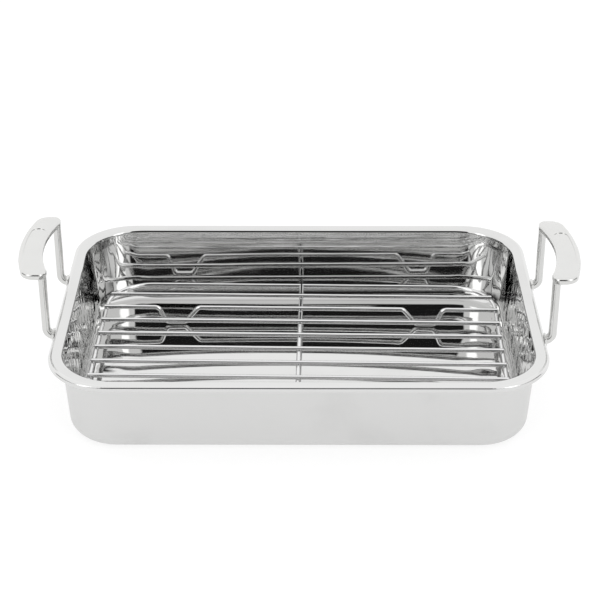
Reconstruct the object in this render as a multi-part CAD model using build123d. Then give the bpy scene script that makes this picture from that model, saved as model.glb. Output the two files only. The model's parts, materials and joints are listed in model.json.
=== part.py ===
"""Roasting pan with a lift-out wire rack.

The pan is one drawn sheet with a rolled rim. A cast loop handle is welded to each short wall. The rack is welded
from round wire: a closed frame, a brace across its middle, and long bars on top of both. Two of the bars are bent
down into feet, so the rack stands clear of the floor of the pan.

Millimetres, +Z up, +X along the pan. The origin is under the middle of the pan, on the surface that it stands on.
"""

import math
import os

from build123d import *

# Pan, measured over the rolled rim
pan_length = 407.0
pan_width = 287.0
pan_height = 69.0
rim_corner_radius = 53.0
wall_corner_radius = 48.0
floor_corner_radius = 41.0
sheet = 1.0
wall_draft = 4.1
floor_bend_radius = 11.5

# Crown of the floor. Its root lies a little under the flat edge that the pan stands on.
crown = 3.5
crown_root = 0.4
crown_end_gap = 25.3
crown_side_gap = 3.3

# Rim, along the middle of the sheet
rim_bend_radius = 2.0
flange_length = 7.16
flange_slope = 5.0
bead_radius = 2.5
bead_turn = 270.0

# Handles
handle_rise = 50.5
handle_standoff = 8.0
leg_spacing = 95.0
leg_depth = 6.4
leg_width = 6.4
leg_edge = 1.6
leg_bend_radius = 7.0
foot_drop = 10.3
groove_width = 0.9
groove_depth = 0.9
groove_place_share = 0.68
left_handle_shift = 3.5
right_handle_shift = -3.5

# Grips
grip_bow = 14.5
grip_width = 20.0
grip_outer_bow = 9.2
grip_inner_thickness = 5.6
grip_outer_thickness = 4.8
grip_overhang = 7.0
grip_corner_radius = 12.0
grip_end_radius = 6.5
grip_top_edge = 2.0
grip_under_edge = 1.2
root_height = 10.0
grip_lip = 0.3
root_spread = 2.6
root_sink = 0.3
root_rise_shares = (0, 0.6, 1)
root_spread_shares = (0, 0.3, 1)
root_round_share = 0.8
recess_length = 49.0
recess_width = 12.0
recess_depth = 0.4

# Feet of the handles
pad_width = 11.0
pad_height = 8.0
pad_reach = 3.5
pad_edge = 1.2

# Rack
wire = 4.0
rack_end_gap = 9.5
rack_side_gap = 7.4
rack_corner_radius = 40.0
rack_height = 18.5
weld_depth = 1.6
bar_gaps = 10
foot_bar_index = 2
bar_overhang = 1.3
bar_end_edge = 0.4
rack_turn = -1.0

# Feet of the rack
foot_outer_place = 129.7
foot_outer_run = 7.3
foot_flat = 16.9
foot_inner_run = 12.4
foot_bend_radius = 5.0
foot_clearance = 0.3

# One overrun for every cut
overrun = 20.0

OUT = "parts"


def turned(point, angle, length):
    """The point that lies at a length from another, at an angle in degrees."""
    turn = math.radians(angle)
    return (point[0] + length * math.cos(turn), point[1] + length * math.sin(turn))


# The middle line of the sheet at the end of the pan. The joint is where the bead is added to the flange.
bead_outer = bead_radius + sheet / 2
bead_centre = (pan_length / 2 - bead_outer, pan_height - bead_outer)
flange_end = turned(bead_centre, flange_slope + 90, bead_radius)
flange_joint = turned(flange_end, flange_slope + 180, sheet / 2)
flange_start = turned(flange_end, flange_slope + 180, flange_length)
flange_rise = math.tan(math.radians(flange_slope))
wall_lean = math.tan(math.radians(wall_draft))

handle_out = pan_length / 2 + handle_standoff
grip_top = pan_height + handle_rise
rack_level = sheet + rack_height
frame_level = rack_level - wire + weld_depth


def wall_half_length(height, side):
    """Half the pan's length at a height, to the inner (-1), middle (0) or outer (1) face of the end wall."""
    skin = side * sheet / 2 / math.cos(math.radians(wall_draft))
    return flange_start[0] - (flange_start[1] - height) * wall_lean + skin


def flange_height(half_length, side):
    """The height of the flange's upper (-1) or under (1) face, at a distance from the middle of the pan."""
    skin = side * sheet / 2 / math.cos(math.radians(flange_slope))
    return flange_end[1] - (flange_end[0] - half_length) * flange_rise - skin


crown_half_length = wall_half_length(0, 1) - floor_bend_radius - crown_end_gap
crown_half_width = crown_half_length - (pan_length - pan_width) / 2 + crown_end_gap - crown_side_gap
frame_half_length = wall_half_length(frame_level, -1) - rack_end_gap - wire / 2
frame_half_width = frame_half_length - (pan_length - pan_width) / 2 + rack_end_gap - rack_side_gap
bar_pitch = 2 * frame_half_width / bar_gaps


def outline(half_length, corner, height):
    """A rounded rectangle as much shorter and narrower than the rim as its half length says."""
    half_width = half_length - (pan_length - pan_width) / 2
    return Pos(0, 0, height) * RectangleRounded(2 * half_length, 2 * half_width, corner)


def wall_outline(height, side):
    """The plan outline of the wall's inner or outer face. Its corners tighten towards the floor."""
    corner = floor_corner_radius + (wall_corner_radius - floor_corner_radius) * height / flange_start[1]
    return outline(wall_half_length(height, side), corner + side * sheet / 2, height)


def inside_of(side):
    """Everything inside the pan's inner (-1) or outer (1) face, to well past the joint with the bead."""
    bend = flange_height(wall_half_length(0, side), side) / (1 - wall_lean * flange_rise)
    joint_corner = rim_corner_radius - (pan_length / 2 - flange_joint[0])
    far = 2 * flange_joint[0] - wall_half_length(bend, side)
    far_corner = 2 * joint_corner - wall_corner_radius - side * sheet / 2
    bottom = (1 - side) * sheet / 2
    far_outline = outline(far, far_corner, flange_height(far, side))
    solid = loft([wall_outline(bottom, side), wall_outline(bend, side), far_outline], ruled=True)
    solid = fillet(solid.edges().group_by(Axis.Z)[0], floor_bend_radius + side * sheet / 2)
    near = rim_bend_radius / 2
    bend_edges = solid.edges().filter_by_position(Axis.Z, bend - near, bend + near)
    return fillet(bend_edges, rim_bend_radius - side * sheet / 2)


def crown_rise(x, y):
    """How far the crown lifts the floor at a place."""
    share = (1 - (x / crown_half_length) ** 2) * (1 - (y / crown_half_width) ** 2)
    return max(0, (crown + crown_root) * share - crown_root)


def under_crown(level):
    """Everything under the crown of a face of the floor. A patch rises to a quarter of its middle point."""
    root = level - crown_root
    summit = root + 4 * (crown + crown_root)
    across = (-crown_half_length, 0, crown_half_length)
    along = (-crown_half_width, 0, crown_half_width)
    points = [[Vector(x, y, summit if x == y == 0 else root) for y in along] for x in across]
    return extrude(Face.make_bezier_surface(points), overrun, dir=(0, 0, -1))


def bead_arc(radius):
    angles = [flange_slope + 90 - bead_turn * share for share in (0, 0.5, 1)]
    return ThreePointArc(*[turned(bead_centre, angle, radius) for angle in angles])


def bead_section():
    """The last of the flange and the bead that it rolls into, cut through at the end of the pan."""
    outer = bead_arc(bead_outer)
    inner = bead_arc(bead_radius - sheet / 2)
    top = (flange_joint[0], flange_height(flange_joint[0], -1))
    under = (flange_joint[0], flange_height(flange_joint[0], 1))
    lines = [Line(under, top), Line(top, outer @ 0), Line(outer @ 1, inner @ 1), Line(inner @ 0, under)]
    return Plane.XZ * make_face([outer, inner] + lines)


def loop_path(half_length, half_width, corner, height):
    """A closed rounded rectangle that starts in the middle of its +X side and runs towards +Y."""
    straight = (half_length - corner, half_width - corner)
    diagonal = corner * math.sqrt(0.5)
    last = (half_length, 0, height)
    edges = []
    for across, along in ((1, 1), (-1, 1), (-1, -1), (1, -1)):
        on_end = (across * half_length, along * straight[1], height)
        on_side = (across * straight[0], along * half_width, height)
        middle = (across * (straight[0] + diagonal), along * (straight[1] + diagonal), height)
        first, second = (on_end, on_side) if across == along else (on_side, on_end)
        edges.append(Line(last, first))
        edges.append(ThreePointArc(first, middle, second))
        last = second
    edges.append(Line(last, (half_length, 0, height)))
    return Wire(edges)


def pan_shell():
    inset = pan_length / 2 - flange_joint[0]
    within_joint = extrude(outline(flange_joint[0], rim_corner_radius - inset, 0), pan_height)
    outside = inside_of(1) - under_crown(0)
    inside = inside_of(-1) - under_crown(sheet)
    bowl = (outside - inside) & within_joint
    path = loop_path(pan_length / 2, pan_width / 2, rim_corner_radius, 0)
    return bowl + sweep(bead_section(), path=path)


def grip_outline():
    """The grip seen from above, bowed away from the pan. X counts from the middle of the legs."""
    inside = -leg_depth / 2 - grip_lip
    end = leg_spacing / 2 + grip_overhang
    leg_side = leg_spacing / 2 - leg_width / 2
    outer_top = grip_bow + grip_width / 2
    outer_x = outer_top - grip_outer_bow
    lines = [
        ThreePointArc((inside, -leg_side), (outer_top - grip_width, 0), (inside, leg_side)),
        ThreePointArc((outer_x, -end), (outer_top, 0), (outer_x, end)),
        Polyline((inside, -leg_side), (inside, -end), (outer_x, -end)),
        Polyline((inside, leg_side), (inside, end), (outer_x, end)),
    ]
    face = make_face(lines)
    corners = face.vertices().filter_by(lambda v: abs(v.Y) > leg_spacing / 2)
    face = fillet(corners.filter_by(lambda v: v.X > 0), grip_corner_radius)
    corners = face.vertices().filter_by(lambda v: abs(v.Y) > leg_spacing / 2)
    return fillet(corners.sort_by(Axis.X)[:2], grip_end_radius)


def grip_wedge():
    """What is cut away below the grip, so that it thins towards its outer edge."""
    inside = -leg_depth / 2 - grip_lip
    outside = grip_bow + grip_width / 2
    corners = [
        (inside, -grip_inner_thickness),
        (outside, -grip_outer_thickness),
        (outside + overrun, -grip_outer_thickness),
        (outside + overrun, -grip_inner_thickness - overrun),
        (inside, -grip_inner_thickness - overrun),
    ]
    face = Plane.XZ * make_face(Polyline(*corners, close=True))
    return extrude(face, leg_spacing, both=True)


def grip_recess():
    """The shallow bare panel in the top of the grip, concentric with its outer edge."""
    half_chord = leg_spacing / 2 + grip_overhang
    outer_radius = (half_chord**2 + grip_outer_bow**2) / (2 * grip_outer_bow)
    centre = grip_bow + grip_width / 2 - outer_radius
    radius = outer_radius - grip_width / 2
    half_angle = math.degrees(recess_length / 2 / radius)
    slot = SlotArc(CenterArc((centre, 0), radius, -half_angle, 2 * half_angle), recess_width)
    return extrude(slot, recess_depth, both=True)


def grip():
    slab = extrude(grip_outline(), -grip_inner_thickness - overrun) - grip_wedge()
    slab = fillet(slab.faces().sort_by(Axis.Z)[-1].edges(), grip_top_edge)
    slab = fillet(slab.faces().sort_by(Axis.Z)[0].edges(), grip_under_edge)
    return slab - grip_recess()


def leg_section():
    return RectangleRounded(leg_depth, leg_width, leg_edge)


def leg_grooves():
    """Across the grooves in the two flanks of a leg, nearer to the pan than to the grip's outer edge."""
    place = leg_depth * (0.5 - groove_place_share)
    grooves = [Pos(place, flank * leg_width / 2) * Rectangle(groove_width, 2 * groove_depth) for flank in (-1, 1)]
    return Sketch() + grooves


def leg_root():
    """Where a leg widens into the underside of the grip. It comes out of the leg, and not towards the pan."""
    sections = []
    for rise_share, spread_share in zip(root_rise_shares, root_spread_shares):
        spread = root_spread * spread_share - root_sink * (1 - spread_share)
        depth = leg_depth + spread - root_sink
        section = RectangleRounded(depth, leg_width + 2 * spread, leg_edge + spread * root_round_share)
        sections.append(Pos((leg_depth - depth) / 2 + spread, 0, root_height * (rise_share - 1)) * section)
    return loft(sections)


def leg_line(top):
    """The middle line of a leg, from a height down, round the bend and in to the wall."""
    level = pan_height - foot_drop
    reach = wall_half_length(level, 1) - overrun / 2 - handle_out
    bend = leg_bend_radius * math.sqrt(0.5)
    start = (0, 0, top)
    bend_start = (0, 0, level + leg_bend_radius)
    bend_middle = (bend - leg_bend_radius, 0, level + leg_bend_radius - bend)
    bend_end = (-leg_bend_radius, 0, level)
    bend_arc = ThreePointArc(bend_start, bend_middle, bend_end)
    return Wire([Line(start, bend_start), bend_arc, Line(bend_end, (reach, 0, level))])


def leg(place):
    """One leg with its root inside the grip, before its foot is added."""
    inside_grip = grip_top - grip_inner_thickness / 2
    bar = sweep(Pos(0, 0, inside_grip) * leg_section(), path=leg_line(inside_grip))
    bar += Pos(0, 0, inside_grip) * leg_root()
    groove_top = grip_top - grip_inner_thickness
    grooves = sweep(Pos(0, 0, groove_top) * leg_grooves(), path=leg_line(groove_top))
    return Pos(0, place, 0) * (bar - grooves)


def foot_pad():
    """The block that the leg ends in, which is welded to the wall under the rim."""
    level = pan_height - foot_drop
    outside = pan_length / 2 + pad_reach - handle_out
    inside = wall_half_length(level, 1) - overrun / 2 - handle_out
    block = Box(outside - inside, pad_width, pad_height)
    block = fillet(block.edges().filter_by(Axis.X) + block.faces().sort_by(Axis.X)[-1].edges(), pad_edge)
    return Pos((outside + inside) / 2, 0, level) * block


def wall_cutter():
    """Everything inside the outer face of the end wall."""
    low = wall_half_length(0, 1) - handle_out
    high = wall_half_length(pan_height, 1) - handle_out
    corners = [(low, 0), (high, pan_height), (high - 2 * overrun, pan_height), (high - 2 * overrun, 0)]
    face = Plane.XZ * make_face(Polyline(*corners, close=True))
    return extrude(face, leg_spacing, both=True)


def handle(side, shift):
    """One cast handle, on the +X (1) or the -X (-1) end of the pan."""
    body = Pos(0, 0, grip_top) * grip()
    for place in (-leg_spacing / 2, leg_spacing / 2):
        body += leg(place)
        body += Pos(0, place, 0) * foot_pad()
    body -= wall_cutter()
    body = Pos(handle_out, 0, 0) * body
    if side < 0:
        body = mirror(body, about=Plane.YZ)
    return Pos(0, shift, 0) * body


def frame_reach(y):
    """How far the frame's centre line lies from the middle of the rack, at a distance from its long axis."""
    past = abs(y) - (frame_half_width - rack_corner_radius)
    if past <= 0:
        return frame_half_length
    return frame_half_length - rack_corner_radius + math.sqrt(rack_corner_radius**2 - past**2)


def rack_frame():
    path = loop_path(frame_half_length, frame_half_width, rack_corner_radius, frame_level)
    section = Plane.XZ * Pos(frame_half_length, frame_level) * Circle(wire / 2)
    return sweep(section, path=path)


def rack_brace():
    length = 2 * (frame_half_width - wire / 2 + weld_depth)
    return Pos(0, 0, frame_level) * Rot(90, 0, 0) * Cylinder(wire / 2, length)


def rack_bar(y):
    length = 2 * (frame_reach(y) + bar_overhang)
    bar = chamfer(Cylinder(wire / 2, length).edges().filter_by(GeomType.CIRCLE), bar_end_edge)
    return Pos(0, y, rack_level) * Rot(0, 90, 0) * bar


def foot_bar(y):
    """A bar with two feet, each steep on its outer side and slanted on its inner side."""
    end = frame_reach(y) + bar_overhang
    outer_floor = foot_outer_place - foot_outer_run
    inner_floor = outer_floor - foot_flat
    floor = sheet + crown_rise(inner_floor, y) + foot_clearance + wire / 2
    inner_top = inner_floor - foot_inner_run
    right = [(inner_top, rack_level), (inner_floor, floor), (outer_floor, floor), (foot_outer_place, rack_level)]
    left = [(-x, z) for x, z in reversed(right)]
    points = [(x, y, z) for x, z in [(-end, rack_level)] + left + right + [(end, rack_level)]]
    path = FilletPolyline(*points, radius=foot_bend_radius)
    section = Plane.YZ * Circle(wire / 2)
    bar = sweep(Pos(-end, y, rack_level) * section, path=path)
    rings = bar.edges().filter_by(GeomType.CIRCLE).group_by(Axis.X)
    return chamfer(rings[0] + rings[-1], bar_end_edge)


def rack():
    """Every piece of the rack by name. The bars are set into the frame and the brace at each weld."""
    frame = rack_frame()
    brace = rack_brace() - frame
    pieces = {"rack_frame": frame, "rack_brace": brace}
    foot_bars = {foot_bar_index: "rack_foot_bar_back", bar_gaps - foot_bar_index: "rack_foot_bar_front"}
    for index in range(1, bar_gaps):
        y = frame_half_width - index * bar_pitch
        name = foot_bars.get(index, f"rack_bar_{index}")
        bar = foot_bar(y) if index in foot_bars else rack_bar(y)
        pieces[name] = bar - frame - brace
    return {name: Rot(0, 0, rack_turn) * piece for name, piece in pieces.items()}


def main():
    pieces = {
        "pan_shell": pan_shell(),
        "handle_left": handle(-1, left_handle_shift),
        "handle_right": handle(1, right_handle_shift),
    }
    pieces.update(rack())
    os.makedirs(OUT, exist_ok=True)
    for name, piece in pieces.items():
        piece.label = name
        export_step(piece, f"{OUT}/{name}.step")


if __name__ == "__main__":
    main()
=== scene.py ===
"""Roasting pan with a lift-out wire rack: its looks, light and camera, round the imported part."""

import json
import math
from typing import NamedTuple

import bmesh
import bpy
from bpy.props import FloatProperty, FloatVectorProperty, IntProperty, PointerProperty
from bpy.types import Operator, Panel, PropertyGroup
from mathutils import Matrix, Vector


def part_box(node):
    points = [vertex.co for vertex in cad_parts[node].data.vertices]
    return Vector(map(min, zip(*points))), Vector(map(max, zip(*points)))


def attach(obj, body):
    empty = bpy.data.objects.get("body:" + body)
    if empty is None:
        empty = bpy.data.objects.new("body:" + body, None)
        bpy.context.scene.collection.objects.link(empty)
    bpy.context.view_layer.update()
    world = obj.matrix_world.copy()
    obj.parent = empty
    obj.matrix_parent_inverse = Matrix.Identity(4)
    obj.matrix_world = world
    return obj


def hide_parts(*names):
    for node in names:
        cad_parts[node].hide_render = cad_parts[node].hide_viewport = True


bl_info = {
    "name": "Roasting pan with rack",
    "version": (1, 0, 0),
    "blender": (4, 5, 0),
    "location": "View3D > Sidebar > Roasting pan",
    "description": "Builds the finished roasting pan, its handles, its wire rack and the studio",
    "category": "Object",
}

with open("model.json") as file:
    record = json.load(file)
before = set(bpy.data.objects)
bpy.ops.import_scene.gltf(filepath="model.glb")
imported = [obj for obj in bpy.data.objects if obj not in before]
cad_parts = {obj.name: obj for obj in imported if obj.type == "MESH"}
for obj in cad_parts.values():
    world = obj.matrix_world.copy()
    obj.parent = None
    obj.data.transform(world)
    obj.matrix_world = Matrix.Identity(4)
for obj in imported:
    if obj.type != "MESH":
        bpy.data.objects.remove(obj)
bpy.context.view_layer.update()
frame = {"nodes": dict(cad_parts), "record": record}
PAN_LOW, PAN_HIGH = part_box("pan_shell")
WIRE_NODES = sorted(frame["record"]["behaviour"]["bodies"]["rack"])
HANDLE_NODES = ("handle_left", "handle_right")

MM = 1000.0  # millimetres in a metre
MERGE_DISTANCE = 1e-6
CREASE = math.radians(32)
RIM_CORNER = 0.053
INSIDE, OUTSIDE = 0, 1  # the pan's material slots

# How finely the pan's section is divided, and how near its bends and corners the next points lie.
FLOOR_BEND_STEPS = 14
RIM_BEND_STEPS = 6
ROLL_STEPS = 28
ROLL_INSIDE_STEPS = 16
SUPPORT_SHEETS = 1.5
CORNER_SUPPORT_SHARE = 1 / 200
CROWN_SOFT_SHARE = 1 / 3
QUADRANTS = ((1, 1), (-1, 1), (-1, -1), (1, -1))

# Zones of the pan, each with its soft edge from and to, in millimetres. They are heights, except
# END_WALLS, a distance from the middle, and ROLL_WIDTH, a distance from the rim's outer edge.
WALL_FOOT = (5.0, 9.0)
PUCKERS_FOOT = (5.0, 14.0)
WALL_BOW = (24.0, 58.0)
BRUSHED_WALL = (42.0, 54.0)
WALL_TOP = (56.0, 68.0)
RIPPLE_TOP = (60.0, 67.0)
ROLL_FOOT = (62.4, 63.4)
END_WALLS = (135.0, 175.0)
ROLL_WIDTH = (3.2, 4.4)

# Heights of the relief that the finish shows, in millimetres.
WAVE_HEIGHT = 0.6
WALL_BOW_HEIGHT = 0.6
WALL_TOP_HEIGHT = 0.25
RIPPLE_HEIGHT = 0.9
FLOOR_LINE_DEPTH = 0.004
WALL_LINE_DEPTH = 0.003
BRUSHED_LINE_DEPTH = 0.01
SATIN_LINE_DEPTH = 0.008
CAST_GRAIN_DEPTH = 0.008

# How the roll is made to look pressed flat: the share of it on its side, and in millimetres the
# least distance from its middle that counts and the width over which side and top blend.
LIP_SIDE_SHARE = 0.6
LIP_LEAST = 0.5
LIP_BLEND = 4.5

# A noise runs from 0 to 1 about its middle, and smears show where theirs lies above these soft edges.
NOISE_MIDDLE = 0.5
INSIDE_SMEARED = (0.5, 0.72)
OUTSIDE_SMEARED = (0.5, 0.75)

# How far lines, smears, grain and rubbed places change the roughness and the level of the colour.
INSIDE_LINE_CONTRAST = 0.06
INSIDE_SMEAR_CONTRAST = 0.03
SATIN_LEVEL = 0.98
SATIN_LINE_CONTRAST = 0.05
SATIN_LINE_ROUGHNESS = 0.12
SATIN_SMEAR_CONTRAST = 0.03
SATIN_SMEAR_ROUGHNESS = 0.05
CAST_LEVEL = 0.97
CAST_GRAIN_ROUGHNESS = 0.1
CAST_RUB_CONTRAST = 0.05
CAST_RUB_GLOSS = 0.06
WIRE_LEVEL = 0.97
WIRE_CONTRAST = 0.08
INSIDE_LEAST_ROUGHNESS = 0.02
LEAST_ROUGHNESS = 0.03

# Forms in the room's light, each with its soft edge from and to. ACROSS is the tangent of the angle
# sideways from straight in front, and BESIDE its sine. FOOT, TOP and EDGE are tangents of the angle
# above the table. BACK and HALF are parts of the direction to the back and to the front.
CARD_ACROSS = (0.34, 0.44)
CARD_TOP = (1.25, 1.9)
SOFTBOX_NEAR_ACROSS = (0.7, 0.9)
SOFTBOX_FAR_ACROSS = (1.5, 1.9)
SOFTBOX_FOOT = (0.0, 0.15)
SOFTBOX_TOP = (0.9, 1.3)
FLAG_BESIDE = (0.93, 0.97)
FLAG_TOP = (0.35, 0.5)
STRIP_FOOT = (-0.02, 0.02)
STRIP_TOP = (0.18, 0.3)
STRIP_BACK = (0.1, 0.4)
TABLE_EDGE = (0.0, 0.04)
FRONT_HALF = (0.0, 0.05)
LEAST_AHEAD = 0.001

WHITE = (1, 1, 1, 1)
BLACK = (0, 0, 0, 1)
TABLE_DROP = 0.0002
SENSOR_WIDTH = 36.0
VIEW_DISTANCE = 50.0

# Sockets of a Mix node that mixes colours.
MIX_FACTOR, MIX_FROM, MIX_TO, MIX_RESULT = 0, 6, 7, 2


class Grain(NamedTuple):
    """A noise in the steel's finish, with its lumps per millimetre along X, Y and Z."""

    per_mm: tuple
    detail: float
    roughness: float


FLOOR_LINES = Grain((0.012, 0.8, 0.0), 2.0, 0.6)
WALL_LINES = Grain((0.012, 0.012, 0.8), 2.0, 0.6)
WAVE = Grain((0.008, 0.008, 0.008), 1.0, 0.4)
RIPPLE = Grain((0.03, 0.055, 0.018), 1.0, 0.5)
PUCKERS = Grain((0.05, 0.08, 0.02), 1.0, 0.5)
INSIDE_SMEARS = Grain((0.018, 0.018, 0.018), 3.0, 0.55)
SATIN_LINES = Grain((0.03, 0.03, 3.0), 3.0, 0.6)
OUTSIDE_SMEARS = Grain((0.02, 0.02, 0.02), 3.0, 0.6)
CAST_GRAIN = Grain((3.0, 3.0, 3.0), 2.0, 0.6)
CAST_RUB = Grain((0.05, 0.05, 0.05), 2.0, 0.5)
WIRE_LINES = Grain((0.02, 4.0, 4.0), 2.0, 0.6)
WIRE_PATCHES = Grain((0.06, 0.06, 0.06), 3.0, 0.6)


def size_property(name, description, default):
    return FloatProperty(name=name, description=description, default=default, subtype="DISTANCE")


def angle_property(name, description, degrees):
    angle = math.radians(degrees)
    return FloatProperty(name=name, description=description, default=angle, subtype="ANGLE")


def share_property(name, description, default):
    return FloatProperty(name=name, description=description, default=default, subtype="FACTOR")


def level_property(name, description, default):
    return FloatProperty(name=name, description=description, default=default)


def count_property(name, description, default):
    return IntProperty(name=name, description=description, default=default)


def color_property(name, description, default):
    return FloatVectorProperty(name=name, description=description, default=default, subtype="COLOR")


def place_property(name, description, default):
    kind = "TRANSLATION"
    return FloatVectorProperty(name=name, description=description, default=default, subtype=kind)


class PanSizes(PropertyGroup):
    """The drawn pan, with the same sizes as the solid."""

    length: size_property("Length", "Over the rolled rim", PAN_HIGH.x - PAN_LOW.x)
    width: size_property("Width", "Over the rolled rim", PAN_HIGH.y - PAN_LOW.y)
    height: size_property("Height", "To the top of the rim", PAN_HIGH.z)
    sheet: size_property("Sheet", "Thickness of the steel", 0.001)
    rim_corner: size_property("Rim corner", "Plan radius of the rim", RIM_CORNER)
    wall_corner: size_property("Wall corner", "Plan radius under the rim", 0.048)
    floor_corner: size_property("Floor corner", "Plan radius at the floor", 0.041)
    draft: angle_property("Draft", "Lean of the walls", 4.1)
    floor_bend: size_property("Floor bend", "Radius from wall to floor", 0.0115)
    crown: size_property("Crown", "Rise of the floor's middle", 0.0035)
    crown_root: size_property("Crown root", "Depth of the crown's edge under the flat part", 0.0004)
    crown_length: size_property("Crown length", "Along the pan", 0.304)
    crown_width: size_property("Crown width", "Across the pan", 0.228)
    rim_bend: size_property("Rim bend", "Radius from wall to flange", 0.002)
    flange: size_property("Flange", "Width along its slope", 0.00716)
    flange_slope: angle_property("Flange slope", "Its fall towards the pan", 5.0)
    bead: size_property("Bead", "Radius of the rolled rim", 0.0025)
    bead_turn: angle_property("Bead turn", "How far the rim is rolled", 270.0)
    corner_steps: count_property("Corner steps", "Faces round each corner", 24)
    side_steps: count_property("Side steps", "Faces along each side", 20)
    floor_steps: count_property("Floor steps", "Rings of faces on the floor", 44)


class Finishes(PropertyGroup):
    """Colours and gloss of the steel."""

    steel: color_property("Sheet steel", "Colour of the pan", (0.645, 0.645, 0.64))
    satin: color_property("Satin steel", "Colour of the pan's outside", (0.68, 0.68, 0.675))
    cast: color_property("Cast steel", "Colour of the handles", (0.66, 0.66, 0.65))
    wire: color_property("Wire", "Colour of the rack", (0.70, 0.70, 0.70))
    inside_gloss: share_property("Inside roughness", "Of the polished inside", 0.035)
    outside_gloss: share_property("Outside roughness", "Of the satin outside", 0.40)
    rim_gloss: share_property("Rim roughness", "Of the rolled rim", 0.05)
    cast_gloss: share_property("Handle roughness", "Of the cast handles", 0.20)
    wire_gloss: share_property("Wire roughness", "Of the rack's wire", 0.12)


class Studio(PropertyGroup):
    """Camera, table and light."""

    camera: place_property("Camera", "Where the camera stands", (0.0044, -1.2636, 0.76846))
    target: place_property("Target", "What it looks at", (0.000875, -0.00176, 0.069))
    lens: level_property("Lens", "Focal length in mm, on a 36 mm sensor", 100.857)
    floor_size: size_property("Floor", "Side of the table", 8.0)
    table_shade: share_property("Table shade", "Grey of the table that takes the shadow", 0.3)
    table_glow: level_property("Table glow", "Light that fills the table's grey up to white", 0.76)
    light: level_property("Light", "Strength of the room's light on the object", 1.2)
    softbox: level_property("Softboxes", "Extra light of the two in front", 1.3)
    card: level_property("Card", "Brightness of the dark card behind the camera", 0.02)
    strip: level_property("Strip", "Brightness of the dark strip and flags round the table", 0.08)


class Value:
    """A number in a shader tree. Expressions on values add the Math nodes that work them out."""

    def __init__(self, tree, socket):
        self.tree = tree
        self.socket = socket

    def output(self, name):
        """Another output of the same node."""
        return Value(self.tree, self.socket.node.outputs[name])

    def math(self, operation, *numbers):
        return self.tree.node("ShaderNodeMath", {"operation": operation}, numbers)

    def __add__(self, other):
        return self.math("ADD", self, other)

    def __radd__(self, other):
        return self.math("ADD", other, self)

    def __sub__(self, other):
        return self.math("SUBTRACT", self, other)

    def __rsub__(self, other):
        return self.math("SUBTRACT", other, self)

    def __mul__(self, other):
        return self.math("MULTIPLY", self, other)

    def __rmul__(self, other):
        return self.math("MULTIPLY", other, self)

    def __truediv__(self, other):
        return self.math("DIVIDE", self, other)

    def __rtruediv__(self, other):
        return self.math("DIVIDE", other, self)

    def __neg__(self):
        return self.math("MULTIPLY", self, -1)

    def __abs__(self):
        return self.math("ABSOLUTE", self)

    def root(self):
        return self.math("SQRT", self)

    def most(self, other):
        """The larger of two numbers."""
        return self.math("MAXIMUM", self, other)

    def soft_least(self, other, blend):
        """The smaller of two numbers, rounded off where they lie within the blend of each other."""
        return self.math("SMOOTH_MIN", self, other, blend)

    def rise(self, low, high):
        """0 below low and 1 above high, smooth between."""
        settings = {"interpolation_type": "SMOOTHSTEP"}
        inputs = {"Value": self, "From Min": low, "From Max": high}
        return self.tree.node("ShaderNodeMapRange", settings, inputs)

    def fall(self, low, high):
        """1 below low and 0 above high, smooth between."""
        return 1 - self.rise(low, high)


class Tree:
    """A material's or a world's nodes."""

    def __init__(self, owner):
        owner.use_nodes = True
        self.owner = owner
        self.nodes = owner.node_tree.nodes
        self.links = owner.node_tree.links
        self.nodes.clear()

    def node(self, kind, settings=None, inputs=(), output=0):
        """Adds a node, its settings first, and then its inputs by name or in order."""
        node = self.nodes.new(kind)
        for name, value in (settings or {}).items():
            setattr(node, name, value)
        pairs = inputs.items() if isinstance(inputs, dict) else enumerate(inputs)
        for key, value in pairs:
            if isinstance(value, Value):
                self.links.new(value.socket, node.inputs[key])
            else:
                node.inputs[key].default_value = value
        return Value(self, node.outputs[output]) if node.outputs else None

    def split(self, vector):
        """The three parts of a vector."""
        first = self.node("ShaderNodeSeparateXYZ", None, [vector])
        return [first.output(axis) for axis in "XYZ"]

    def place(self):
        """Object coordinates in millimetres."""
        metres = self.node("ShaderNodeTexCoord", None, (), "Object")
        return self.node("ShaderNodeVectorMath", {"operation": "SCALE"}, {0: metres, "Scale": MM})

    def noise(self, place, grain):
        """A noise from 0 to 1 at a place in millimetres."""
        scaled = self.node("ShaderNodeVectorMath", {"operation": "MULTIPLY"}, [place, grain.per_mm])
        inputs = {"Vector": scaled, "Scale": 1.0}
        inputs |= {"Detail": grain.detail, "Roughness": grain.roughness}
        return self.node("ShaderNodeTexNoise", None, inputs)

    def centred_noise(self, place, grain):
        """The same noise, about 0."""
        return self.noise(place, grain) - NOISE_MIDDLE

    def metal(self, color, level, roughness, heights=()):
        """Metal with a colour times a level, and a Bump node for each height in millimetres."""
        colors = {MIX_FACTOR: level, MIX_FROM: BLACK, MIX_TO: (*color, 1)}
        tint = self.node("ShaderNodeMix", {"data_type": "RGBA"}, colors, MIX_RESULT)
        inputs = {"Metallic": 1.0, "Base Color": tint, "Roughness": roughness}
        for height in heights:
            bump = {"Height": height, "Strength": 1.0, "Distance": 1 / MM}
            if "Normal" in inputs:
                bump["Normal"] = inputs["Normal"]
            inputs["Normal"] = self.node("ShaderNodeBump", None, bump)
        shader = self.node("ShaderNodeBsdfPrincipled", None, inputs)
        self.node("ShaderNodeOutputMaterial", None, {"Surface": shader})
        return self.owner


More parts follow.
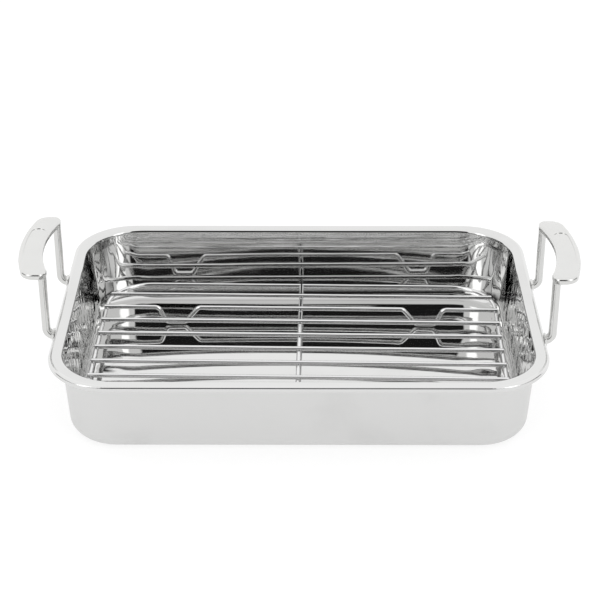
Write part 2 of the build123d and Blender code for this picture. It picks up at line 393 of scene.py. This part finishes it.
def polished_inside(finishes):
    """Polished sheet with faint belt lines, smears, a slight wave, and puckers at the end walls."""
    tree = Tree(bpy.data.materials.new("polished_inside"))
    place = tree.place()
    x, y, z = tree.split(place)
    flat = z.fall(*WALL_FOOT)
    lines = tree.noise(place, FLOOR_LINES) * flat + tree.noise(place, WALL_LINES) * (1 - flat)
    smear = tree.noise(place, INSIDE_SMEARS).rise(*INSIDE_SMEARED)
    contrast = (lines - NOISE_MIDDLE) * INSIDE_LINE_CONTRAST
    roughness = finishes.inside_gloss + contrast + smear * INSIDE_SMEAR_CONTRAST
    level = 1 - smear * INSIDE_SMEAR_CONTRAST + contrast
    wave = tree.noise(place, WAVE) * WAVE_HEIGHT
    bow = z.rise(*WALL_BOW) * WALL_BOW_HEIGHT - z.rise(*WALL_TOP) * WALL_TOP_HEIGHT
    ripple = tree.centred_noise(place, RIPPLE) * RIPPLE_HEIGHT
    puckers = tree.centred_noise(place, PUCKERS) * z.rise(*PUCKERS_FOOT)
    ends = abs(x).rise(*END_WALLS) * z.fall(*RIPPLE_TOP)
    wall_depth = z.rise(*BRUSHED_WALL) * BRUSHED_LINE_DEPTH + WALL_LINE_DEPTH
    depth = flat * FLOOR_LINE_DEPTH + (1 - flat) * wall_depth
    heights = [wave + bow + (ripple + puckers) * ends, lines * depth]
    return tree.metal(finishes.steel, level, roughness.most(INSIDE_LEAST_ROUGHNESS), heights)


def rim_distance(x, y):
    """How far a place on the rim lies inside the rim's outer edge, in millimetres."""
    corner = RIM_CORNER * MM
    along = (abs(x) - (PAN_HIGH.x * MM - corner)).most(0.0)
    across = (abs(y) - (PAN_HIGH.y * MM - corner)).most(0.0)
    return corner - (along * along + across * across).root()


def flat_lip(distance, z, radius):
    """Height that squares up the round of the rim, which is pressed flat on top and outside."""
    sideways = radius * radius / (radius - distance).most(LIP_LEAST) - radius
    upwards = radius * radius / (z - (PAN_HIGH.z * MM - radius)).most(LIP_LEAST) - radius
    return (sideways * LIP_SIDE_SHARE).soft_least(upwards, LIP_BLEND)


def satin_outside(finishes, sizes):
    """Satin sheet, rubbed along the wall, with faint handling marks and a glossy rolled rim."""
    tree = Tree(bpy.data.materials.new("satin_outside"))
    place = tree.place()
    x, y, z = tree.split(place)
    lines = tree.noise(place, SATIN_LINES)
    smear = tree.noise(place, OUTSIDE_SMEARS).rise(*OUTSIDE_SMEARED)
    distance = rim_distance(x, y)
    on_rim = z.rise(*ROLL_FOOT) * distance.fall(*ROLL_WIDTH)
    gloss = finishes.outside_gloss - on_rim * (finishes.outside_gloss - finishes.rim_gloss)
    centred = lines - NOISE_MIDDLE
    roughness = gloss + centred * SATIN_LINE_ROUGHNESS + smear * SATIN_SMEAR_ROUGHNESS
    level = SATIN_LEVEL - smear * SATIN_SMEAR_CONTRAST + centred * SATIN_LINE_CONTRAST
    lip = flat_lip(distance, z, (sizes.bead + sizes.sheet / 2) * MM) * on_rim
    heights = [lip, lines * SATIN_LINE_DEPTH]
    return tree.metal(finishes.satin, level, roughness.most(LEAST_ROUGHNESS), heights)


def satin_cast(finishes):
    """Cast steel with a fine blasted grain, a little brighter where hands rub it."""
    tree = Tree(bpy.data.materials.new("satin_cast"))
    place = tree.place()
    grain = tree.noise(place, CAST_GRAIN)
    rub = tree.noise(place, CAST_RUB)
    blasted = (grain - NOISE_MIDDLE) * CAST_GRAIN_ROUGHNESS
    roughness = finishes.cast_gloss + blasted - rub * CAST_RUB_GLOSS
    level = CAST_LEVEL + (rub - NOISE_MIDDLE) * CAST_RUB_CONTRAST
    return tree.metal(finishes.cast, level, roughness, [grain * CAST_GRAIN_DEPTH])


def bright_wire(finishes):
    """Drawn and polished wire, with fine lines along it and a slight dulling in patches."""
    tree = Tree(bpy.data.materials.new("bright_wire"))
    place = tree.place()
    lines = tree.centred_noise(place, WIRE_LINES) * WIRE_CONTRAST
    patches = tree.centred_noise(place, WIRE_PATCHES) * WIRE_CONTRAST
    roughness = finishes.wire_gloss + lines + patches
    return tree.metal(finishes.wire, WIRE_LEVEL + patches, roughness.most(LEAST_ROUGHNESS))


def on_circle(centre, radius, angle):
    return (centre[0] + radius * math.cos(angle), centre[1] + radius * math.sin(angle))


def arc(centre, radius, start, end, steps):
    """Points of an arc in the section plane, both ends included."""
    turn = (end - start) / steps
    return [on_circle(centre, radius, start + turn * step) for step in range(steps + 1)]


class Section:
    """The pan's section at the end wall, as rings of (half length, corner, height).

    A side is -1 on the sheet's inner face and 1 on its outer face.
    """

    def __init__(self, sizes):
        self.sizes = sizes
        outer = sizes.bead + sizes.sheet / 2
        slope = sizes.flange_slope
        self.support = sizes.sheet * SUPPORT_SHEETS
        self.bead_centre = (sizes.length / 2 - outer, sizes.height - outer)
        self.bead_start = math.pi / 2 + slope
        across, height = on_circle(self.bead_centre, sizes.bead, self.bead_start)
        self.flange_end = (across, height)
        level, fall = math.cos(slope), math.sin(slope)
        self.flange_start = (across - sizes.flange * level, height - sizes.flange * fall)
        self.joint = across - sizes.sheet / 2 * level

    def wall(self, height, side):
        """The wall's half length at a height."""
        sizes = self.sizes
        skin = side * sizes.sheet / 2 / math.cos(sizes.draft)
        return self.flange_start[0] - (self.flange_start[1] - height) * math.tan(sizes.draft) + skin

    def wall_corner(self, height, side):
        sizes = self.sizes
        growth = (sizes.wall_corner - sizes.floor_corner) * height / self.flange_start[1]
        return sizes.floor_corner + growth + side * sizes.sheet / 2

    def wall_ring(self, height, side):
        return (self.wall(height, side), self.wall_corner(height, side), height)

    def flange_height(self, half_length, side):
        sizes = self.sizes
        skin = side * sizes.sheet / 2 / math.cos(sizes.flange_slope)
        fall = (self.flange_end[0] - half_length) * math.tan(sizes.flange_slope)
        return self.flange_end[1] - fall - skin

    def crossing(self, side):
        """Where the wall and the flange would meet without their bend."""
        slopes = math.tan(self.sizes.draft) * math.tan(self.sizes.flange_slope)
        height = self.flange_height(self.wall(0, side), side) / (1 - slopes)
        return (self.wall(height, side), height)

    def rim_corner(self, half_length):
        return self.sizes.rim_corner - (self.sizes.length / 2 - half_length)

    def flange_corner(self, half_length, side):
        """Between the wall's corner and the bead's, which isn't the same as an even offset."""
        low = self.crossing(side)[0]
        share = (half_length - low) / (self.joint - low)
        wall_end = self.sizes.wall_corner + side * self.sizes.sheet / 2
        return wall_end + (self.rim_corner(self.joint) - wall_end) * share

    def flange_ring(self, half_length, side):
        corner = self.flange_corner(half_length, side)
        return (half_length, corner, self.flange_height(half_length, side))

    def floor_rings(self, side):
        """Round the bend from the floor to the wall, with a ring beside each of its ends."""
        sizes = self.sizes
        radius = sizes.floor_bend + side * sizes.sheet / 2
        centre_height = (1 - side) * sizes.sheet / 2 + radius
        centre = (self.wall(centre_height, side) - radius / math.cos(sizes.draft), centre_height)
        bend = arc(centre, radius, -math.pi / 2, -sizes.draft, FLOOR_BEND_STEPS)
        end, top = bend[-1]
        corner = self.wall_corner(top, side)
        rings = [(x, corner - (end - x), z) for x, z in bend]
        edge, edge_corner, low = rings[0]
        beside = (edge - self.support, edge_corner - self.support, low)
        return [beside, *rings, self.wall_ring(top + self.support, side)]

    def rim_rings(self, side):
        """Round the bend from the wall to the flange, with the rings beside it, and on to the roll."""
        sizes = self.sizes
        crossing = self.crossing(side)
        radius = sizes.rim_bend - side * sizes.sheet / 2
        turn = math.pi / 2 - sizes.draft - sizes.flange_slope
        tangent = radius * math.tan(turn / 2)
        up = (math.sin(sizes.draft), math.cos(sizes.draft))
        start = (crossing[0] - tangent * up[0], crossing[1] - tangent * up[1])
        centre = (start[0] + radius * up[1], start[1] - radius * up[0])
        rings = [self.wall_ring(start[1] - self.support, side)]
        for x, z in arc(centre, radius, math.pi - sizes.draft, self.bead_start, RIM_BEND_STEPS):
            on_wall = x <= crossing[0]
            corner = self.wall_corner(z, side) if on_wall else self.flange_corner(x, side)
            rings.append((x, corner, z))
        rings.append(self.flange_ring(rings[-1][0] + self.support / 2, side))
        rings.append(self.flange_ring(self.joint, side))
        return rings

    def bead_rings(self, radius, start, end, steps):
        points = arc(self.bead_centre, radius, start, end, steps)
        return [(x, self.rim_corner(x), z) for x, z in points]

    def rings(self):
        """All rings, up the inside, round the roll and down the outside, and how many are inside."""
        sizes = self.sizes
        inside, outside = [self.floor_rings(side) + self.rim_rings(side) for side in (-1, 1)]
        finish = self.bead_start - sizes.bead_turn
        skin = sizes.sheet / 2
        outer = self.bead_rings(sizes.bead + skin, self.bead_start, finish, ROLL_STEPS)
        inner = self.bead_rings(sizes.bead - skin, finish, self.bead_start, ROLL_INSIDE_STEPS)
        return inside + outer + inner + outside[::-1], len(inside)


def crown_rise(sizes, x, y):
    """How far the crown lifts the floor at a place, with a soft edge."""
    share = (1 - (2 * x / sizes.crown_length) ** 2) * (1 - (2 * y / sizes.crown_width) ** 2)
    rise = (sizes.crown + sizes.crown_root) * share - sizes.crown_root
    return (rise + math.hypot(rise, sizes.crown_root * CROWN_SOFT_SHARE)) / 2


def ring_places(ring, sizes):
    """Points round a rounded rectangle: corner by corner, each followed by the side after it."""
    half_length, corner, height = ring
    half_width = half_length - (sizes.length - sizes.width) / 2
    turns = [math.pi / 2 * step / sizes.corner_steps for step in range(sizes.corner_steps + 1)]
    even_shares = [step / sizes.side_steps for step in range(1, sizes.side_steps)]
    shares = [CORNER_SUPPORT_SHARE, *even_shares, 1 - CORNER_SUPPORT_SHARE]
    corners = []
    for quadrant, (along, across) in enumerate(QUADRANTS):
        centre = Vector((along * (half_length - corner), across * (half_width - corner), height))
        angles = [math.pi / 2 * quadrant + turn for turn in turns]
        corners.append([centre + corner * Vector((math.cos(a), math.sin(a), 0)) for a in angles])
    places = []
    for points, following in zip(corners, corners[1:] + corners[:1]):
        places += points + [points[-1].lerp(following[0], share) for share in shares]
    return places


def put(verts, places):
    for vert, place in zip(verts, places):
        vert.co = place


def extruded_ring(bm, verts, places, slot):
    """A copy of a ring of vertices, in the same order, at new places, joined to it by faces."""
    edges = [bm.edges.get((verts[i - 1], verts[i])) for i in range(len(verts))]
    made = bmesh.ops.extrude_edge_only(bm, edges=edges)["geom"]
    for face in made:
        if isinstance(face, bmesh.types.BMFace):
            face.material_index = slot
    fresh = {item for item in made if isinstance(item, bmesh.types.BMVert)}
    copies = [next(e.other_vert(v) for e in v.link_edges if e.other_vert(v) in fresh) for v in verts]
    put(copies, places)
    return copies


def close_floor(bm, verts, sizes, slot):
    """Fills the floor from its edge: rings that shrink towards the middle, on the crown."""
    edge = [vert.co.copy() for vert in verts]
    for step in range(1, sizes.floor_steps):
        share = 1 - step / sizes.floor_steps
        flat = [Vector((place.x * share, place.y * share, place.z)) for place in edge]
        raised = [place + Vector((0, 0, crown_rise(sizes, place.x, place.y))) for place in flat]
        verts = extruded_ring(bm, verts, raised, slot)
    bm.faces.new(verts).material_index = slot


def pan_mesh(sizes):
    """The pan: a ring of vertices, extruded along the section from the floor over the rim and back."""
    bm = bmesh.new()
    rings, polished = Section(sizes).rings()
    places = ring_places(rings[0], sizes)
    bmesh.ops.create_circle(bm, cap_ends=False, radius=sizes.length / 2, segments=len(places))
    bm.verts.ensure_lookup_table()
    first = list(bm.verts)
    put(first, places)
    last = first
    for number, ring in enumerate(rings[1:]):
        slot = INSIDE if number < polished else OUTSIDE
        last = extruded_ring(bm, last, ring_places(ring, sizes), slot)
    close_floor(bm, first, sizes, INSIDE)
    close_floor(bm, last, sizes, OUTSIDE)
    bmesh.ops.remove_doubles(bm, verts=bm.verts, dist=MERGE_DISTANCE)
    bmesh.ops.recalc_face_normals(bm, faces=bm.faces)
    for face in bm.faces:
        face.smooth = True
    return bm


def finished(name, bm, body, node, materials):
    """A piece from a bmesh, in place of a node."""
    mesh = bpy.data.meshes.new(name)
    bm.to_mesh(mesh)
    bm.free()
    for material in materials:
        mesh.materials.append(material)
    piece = bpy.data.objects.new(name, mesh)
    bpy.context.scene.collection.objects.link(piece)
    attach(piece, body)
    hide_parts(node)
    return piece


def smooth_copy(node, name, body, material):
    """A node's own shape with its loose triangles merged and shaded smooth up to its creases."""
    bm = bmesh.new()
    bm.from_mesh(frame["nodes"][node].data)
    bmesh.ops.remove_doubles(bm, verts=bm.verts, dist=MERGE_DISTANCE)
    for face in bm.faces:
        face.smooth = True
        face.material_index = 0
    for edge in bm.edges:
        edge.smooth = len(edge.link_faces) == 2 and edge.calc_face_angle(0) < CREASE
    return finished(name, bm, body, node, [material])


class ROASTPAN_OT_shell(Operator):
    """Make the drawn pan, polished inside and satin outside"""

    bl_idname = "roastpan.shell"
    bl_label = "Pan"

    def execute(self, context):
        finishes = context.scene.pan_finishes
        sizes = context.scene.pan_sizes
        materials = [polished_inside(finishes), satin_outside(finishes, sizes)]
        finished("pan", pan_mesh(sizes), "pan", "pan_shell", materials)
        return {"FINISHED"}


class ROASTPAN_OT_handles(Operator):
    """Finish the two cast handles"""

    bl_idname = "roastpan.handles"
    bl_label = "Handles"

    def execute(self, context):
        material = satin_cast(context.scene.pan_finishes)
        for node in HANDLE_NODES:
            smooth_copy(node, f"cast_{node}", "pan", material)
        return {"FINISHED"}


class ROASTPAN_OT_rack(Operator):
    """Finish the wires of the rack"""

    bl_idname = "roastpan.rack"
    bl_label = "Rack"

    def execute(self, context):
        material = bright_wire(context.scene.pan_finishes)
        for node in WIRE_NODES:
            smooth_copy(node, node.replace("rack", "wire", 1), "rack", material)
        return {"FINISHED"}


def table_material(studio):
    """White table. It shows white to the camera and in the steel, and keeps a soft shadow."""
    tree = Tree(bpy.data.materials.new("white_table"))
    grey = (studio.table_shade, studio.table_shade, studio.table_shade, 1)
    diffuse = tree.node("ShaderNodeBsdfDiffuse", None, {"Color": grey})
    glow = tree.node("ShaderNodeEmission", None, {"Color": WHITE, "Strength": studio.table_glow})
    both = tree.node("ShaderNodeAddShader", None, [diffuse, glow])
    tree.node("ShaderNodeOutputMaterial", None, {"Surface": both})
    return tree.owner


def add_table(scene, studio):
    bm = bmesh.new()
    bmesh.ops.create_grid(bm, x_segments=1, y_segments=1, size=studio.floor_size / 2)
    mesh = bpy.data.meshes.new("table")
    bm.to_mesh(mesh)
    bm.free()
    mesh.materials.append(table_material(studio))
    table = bpy.data.objects.new("table", mesh)
    table.location.z = -TABLE_DROP
    scene.collection.objects.link(table)


def room_light(scene, studio):
    """A white room. Only the object sees what hangs in it.

    That is a dark card behind the camera, a low dark strip round the front and the sides, a dark
    flag at each side, and two softboxes in front, left and right of the card. The parts x, y and z
    are those of the direction from the object into the room.
    """
    world = bpy.data.worlds.new("white_room")
    scene.world = world
    tree = Tree(world)
    x, y, z = tree.split(tree.node("ShaderNodeTexCoord", None, (), "Generated"))
    ahead = -y
    front = ahead.rise(*FRONT_HALF)
    across = abs(x / ahead.most(LEAST_AHEAD))
    reach = (x * x + y * y).root()
    slope = z / reach
    above = slope.rise(*TABLE_EDGE)
    card = front * across.fall(*CARD_ACROSS) * slope.fall(*CARD_TOP) * above
    flags = (abs(x) / reach).rise(*FLAG_BESIDE) * slope.fall(*FLAG_TOP) * above
    strip = slope.fall(*STRIP_TOP) * slope.rise(*STRIP_FOOT) * y.fall(*STRIP_BACK)
    softbox = front * across.rise(*SOFTBOX_NEAR_ACROSS) * across.fall(*SOFTBOX_FAR_ACROSS)
    softbox = softbox * slope.rise(*SOFTBOX_FOOT) * slope.fall(*SOFTBOX_TOP)
    lit = studio.light - strip.most(flags) * (1 - softbox) * (studio.light - studio.strip)
    lit = lit + softbox * studio.softbox
    lit = lit - card * (lit - studio.card)
    seen = tree.node("ShaderNodeLightPath", None, (), "Is Camera Ray")
    level = lit + seen * (1 - lit)
    background = tree.node("ShaderNodeBackground", None, {"Color": WHITE, "Strength": level})
    tree.node("ShaderNodeOutputWorld", None, {"Surface": background})


def add_camera(scene, studio):
    camera = bpy.data.objects.new("camera", bpy.data.cameras.new("camera"))
    camera.data.lens = studio.lens
    camera.data.sensor_width = SENSOR_WIDTH
    camera.data.clip_end = VIEW_DISTANCE
    camera.location = studio.camera
    line = Vector(studio.target) - Vector(studio.camera)
    camera.rotation_euler = line.to_track_quat("-Z", "Y").to_euler()
    scene.collection.objects.link(camera)
    scene.camera = camera


class ROASTPAN_OT_studio(Operator):
    """Set up the table, the light and the camera"""

    bl_idname = "roastpan.studio"
    bl_label = "Studio"

    def execute(self, context):
        scene = context.scene
        add_table(scene, scene.pan_studio)
        room_light(scene, scene.pan_studio)
        add_camera(scene, scene.pan_studio)
        scene.view_settings.view_transform = "Standard"
        return {"FINISHED"}


class ROASTPAN_PT_panel(Panel):
    """The pan's pieces and settings in the sidebar"""

    bl_idname = "ROASTPAN_PT_panel"
    bl_label = "Roasting pan"
    bl_space_type = "VIEW_3D"
    bl_region_type = "UI"
    bl_category = "Roasting pan"

    def draw(self, context):
        for operator in OPERATORS:
            self.layout.operator(operator.bl_idname)
        scene = context.scene
        for group in (scene.pan_sizes, scene.pan_finishes, scene.pan_studio):
            box = self.layout.box()
            for name in group.__annotations__:
                box.prop(group, name)


OPERATORS = (ROASTPAN_OT_shell, ROASTPAN_OT_handles, ROASTPAN_OT_rack, ROASTPAN_OT_studio)
CLASSES = (PanSizes, Finishes, Studio, *OPERATORS, ROASTPAN_PT_panel)


def register():
    for kind in CLASSES:
        bpy.utils.register_class(kind)
    bpy.types.Scene.pan_sizes = PointerProperty(type=PanSizes)
    bpy.types.Scene.pan_finishes = PointerProperty(type=Finishes)
    bpy.types.Scene.pan_studio = PointerProperty(type=Studio)


def unregister():
    del bpy.types.Scene.pan_studio
    del bpy.types.Scene.pan_finishes
    del bpy.types.Scene.pan_sizes
    for kind in reversed(CLASSES):
        bpy.utils.unregister_class(kind)


def main():
    register()
    bpy.ops.roastpan.shell()
    bpy.ops.roastpan.handles()
    bpy.ops.roastpan.rack()
    bpy.ops.roastpan.studio()


if __name__ == "__main__":
    main()
